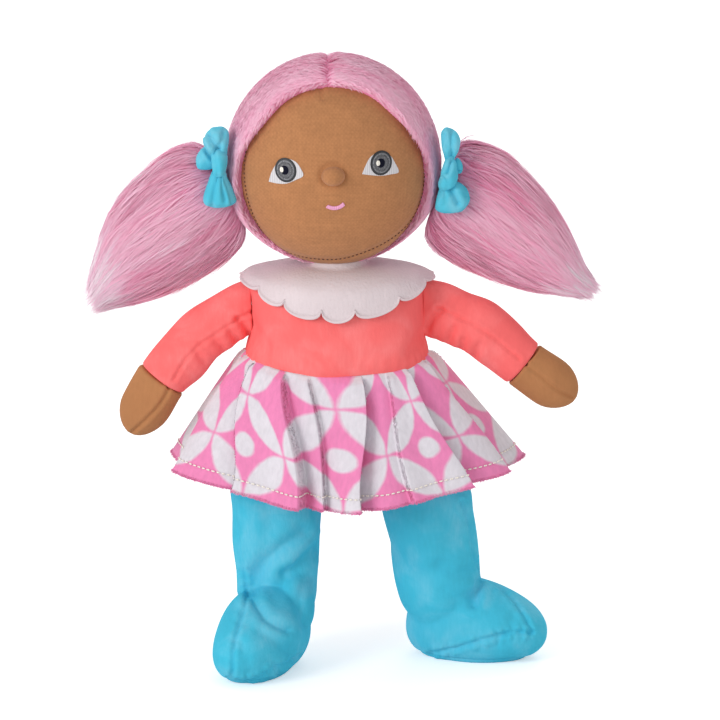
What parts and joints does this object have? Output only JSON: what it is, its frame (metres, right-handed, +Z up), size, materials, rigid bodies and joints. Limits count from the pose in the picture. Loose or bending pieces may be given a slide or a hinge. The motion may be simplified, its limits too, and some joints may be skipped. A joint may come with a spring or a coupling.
{
  "type": "rag doll",
  "caption": "Stuffed cloth doll with plush hair in two bunches, scalloped collar, flared skirt and boot shaped legs; limbs, head and hair fold at their seams.",
  "frame": {"origin": "on the ground, under the middle of the doll's overall box", "axes": "+Z up along the body, -Y the way the face looks, +X to the viewer's right"},
  "size_m": [0.3006, 0.1454, 0.3754],
  "materials": {
    "skin_fabric": "matte",
    "pink_plush": "matte",
    "velour_blue": "matte",
    "velour_coral": "matte",
    "collar_plush": "matte",
    "skirt_print": "matte",
    "filling": "matte",
    "eye_white": "satin",
    "iris_thread": "satin",
    "pupil_thread": "satin",
    "mouth_thread": "satin"
  },
  "bodies": {
    "torso": {"torso_front": "velour_coral", "torso_back": "velour_coral", "torso_stuffing": "filling", "collar": "collar_plush"},
    "neck": {"neck_core": "skin_fabric"},
    "head": {"face_panel": "skin_fabric", "nose": "skin_fabric", "hair_cap_left": "pink_plush", "hair_cap_right": "pink_plush", "head_stuffing": "filling", "eye_white_left": "eye_white", "eye_white_right": "eye_white", "iris_left": "iris_thread", "iris_right": "iris_thread", "pupil_left": "pupil_thread", "pupil_right": "pupil_thread", "mouth_stitch": "mouth_thread", "bow_knot_left": "velour_blue", "bow_upper_left": "velour_blue", "bow_lower_left": "velour_blue", "bow_knot_right": "velour_blue", "bow_upper_right": "velour_blue", "bow_lower_right": "velour_blue"},
    "pigtail_left": {"pigtail_left": "pink_plush"},
    "pigtail_right": {"pigtail_right": "pink_plush"},
    "arm_left": {"sleeve_left": "velour_coral", "hand_left": "skin_fabric", "arm_stuffing_left": "filling"},
    "arm_right": {"sleeve_right": "velour_coral", "hand_right": "skin_fabric", "arm_stuffing_right": "filling"},
    "lap": {"hip_seam": "velour_blue", "skirt": "skirt_print"},
    "leg_left": {"leg_left": "velour_blue", "sole_left": "velour_blue", "leg_stuffing_left": "filling"},
    "leg_right": {"leg_right": "velour_blue", "sole_right": "velour_blue", "leg_stuffing_right": "filling"}
  },
  "joints": [
    {"name": "neck_turn", "type": "hinge", "parent": "torso", "child": "neck", "pos_m": [0.00014, -0.00055, 0.262], "axis": [0, 0, 1], "range_deg": [-45, 45]},
    {"name": "head_nod", "type": "hinge", "parent": "neck", "child": "head", "pos_m": [0.00014, -0.00055, 0.262], "axis": [1, 0, 0], "range_deg": [-10, 10]},
    {"name": "pigtail_left_lift", "type": "hinge", "parent": "head", "child": "pigtail_left", "pos_m": [-0.07669, -0.00055, 0.29302], "axis": [0, 1, 0], "range_deg": [0, 60]},
    {"name": "pigtail_right_lift", "type": "hinge", "parent": "head", "child": "pigtail_right", "pos_m": [0.07331, -0.00055, 0.30088], "axis": [0, -1, 0], "range_deg": [0, 60]},
    {"name": "arm_left_swing", "type": "hinge", "parent": "torso", "child": "arm_left", "pos_m": [-0.05386, -0.00055, 0.221], "axis": [0, 0, 1], "range_deg": [-40, 60]},
    {"name": "arm_right_swing", "type": "hinge", "parent": "torso", "child": "arm_right", "pos_m": [0.05414, -0.00055, 0.221], "axis": [0, 0, -1], "range_deg": [-40, 60]},
    {"name": "sit_fold", "type": "hinge", "parent": "torso", "child": "lap", "pos_m": [0.00014, -0.00055, 0.148], "axis": [-1, 0, 0], "range_deg": [0, 75], "deforming": ["skirt"]},
    {"name": "leg_left_swing", "type": "hinge", "parent": "lap", "child": "leg_left", "pos_m": [0.00014, -0.00055, 0.148], "axis": [-1, 0, 0], "range_deg": [-20, 20]},
    {"name": "leg_right_swing", "type": "hinge", "parent": "lap", "child": "leg_right", "pos_m": [0.00014, -0.00055, 0.148], "axis": [-1, 0, 0], "range_deg": [-20, 20]}
  ]
}
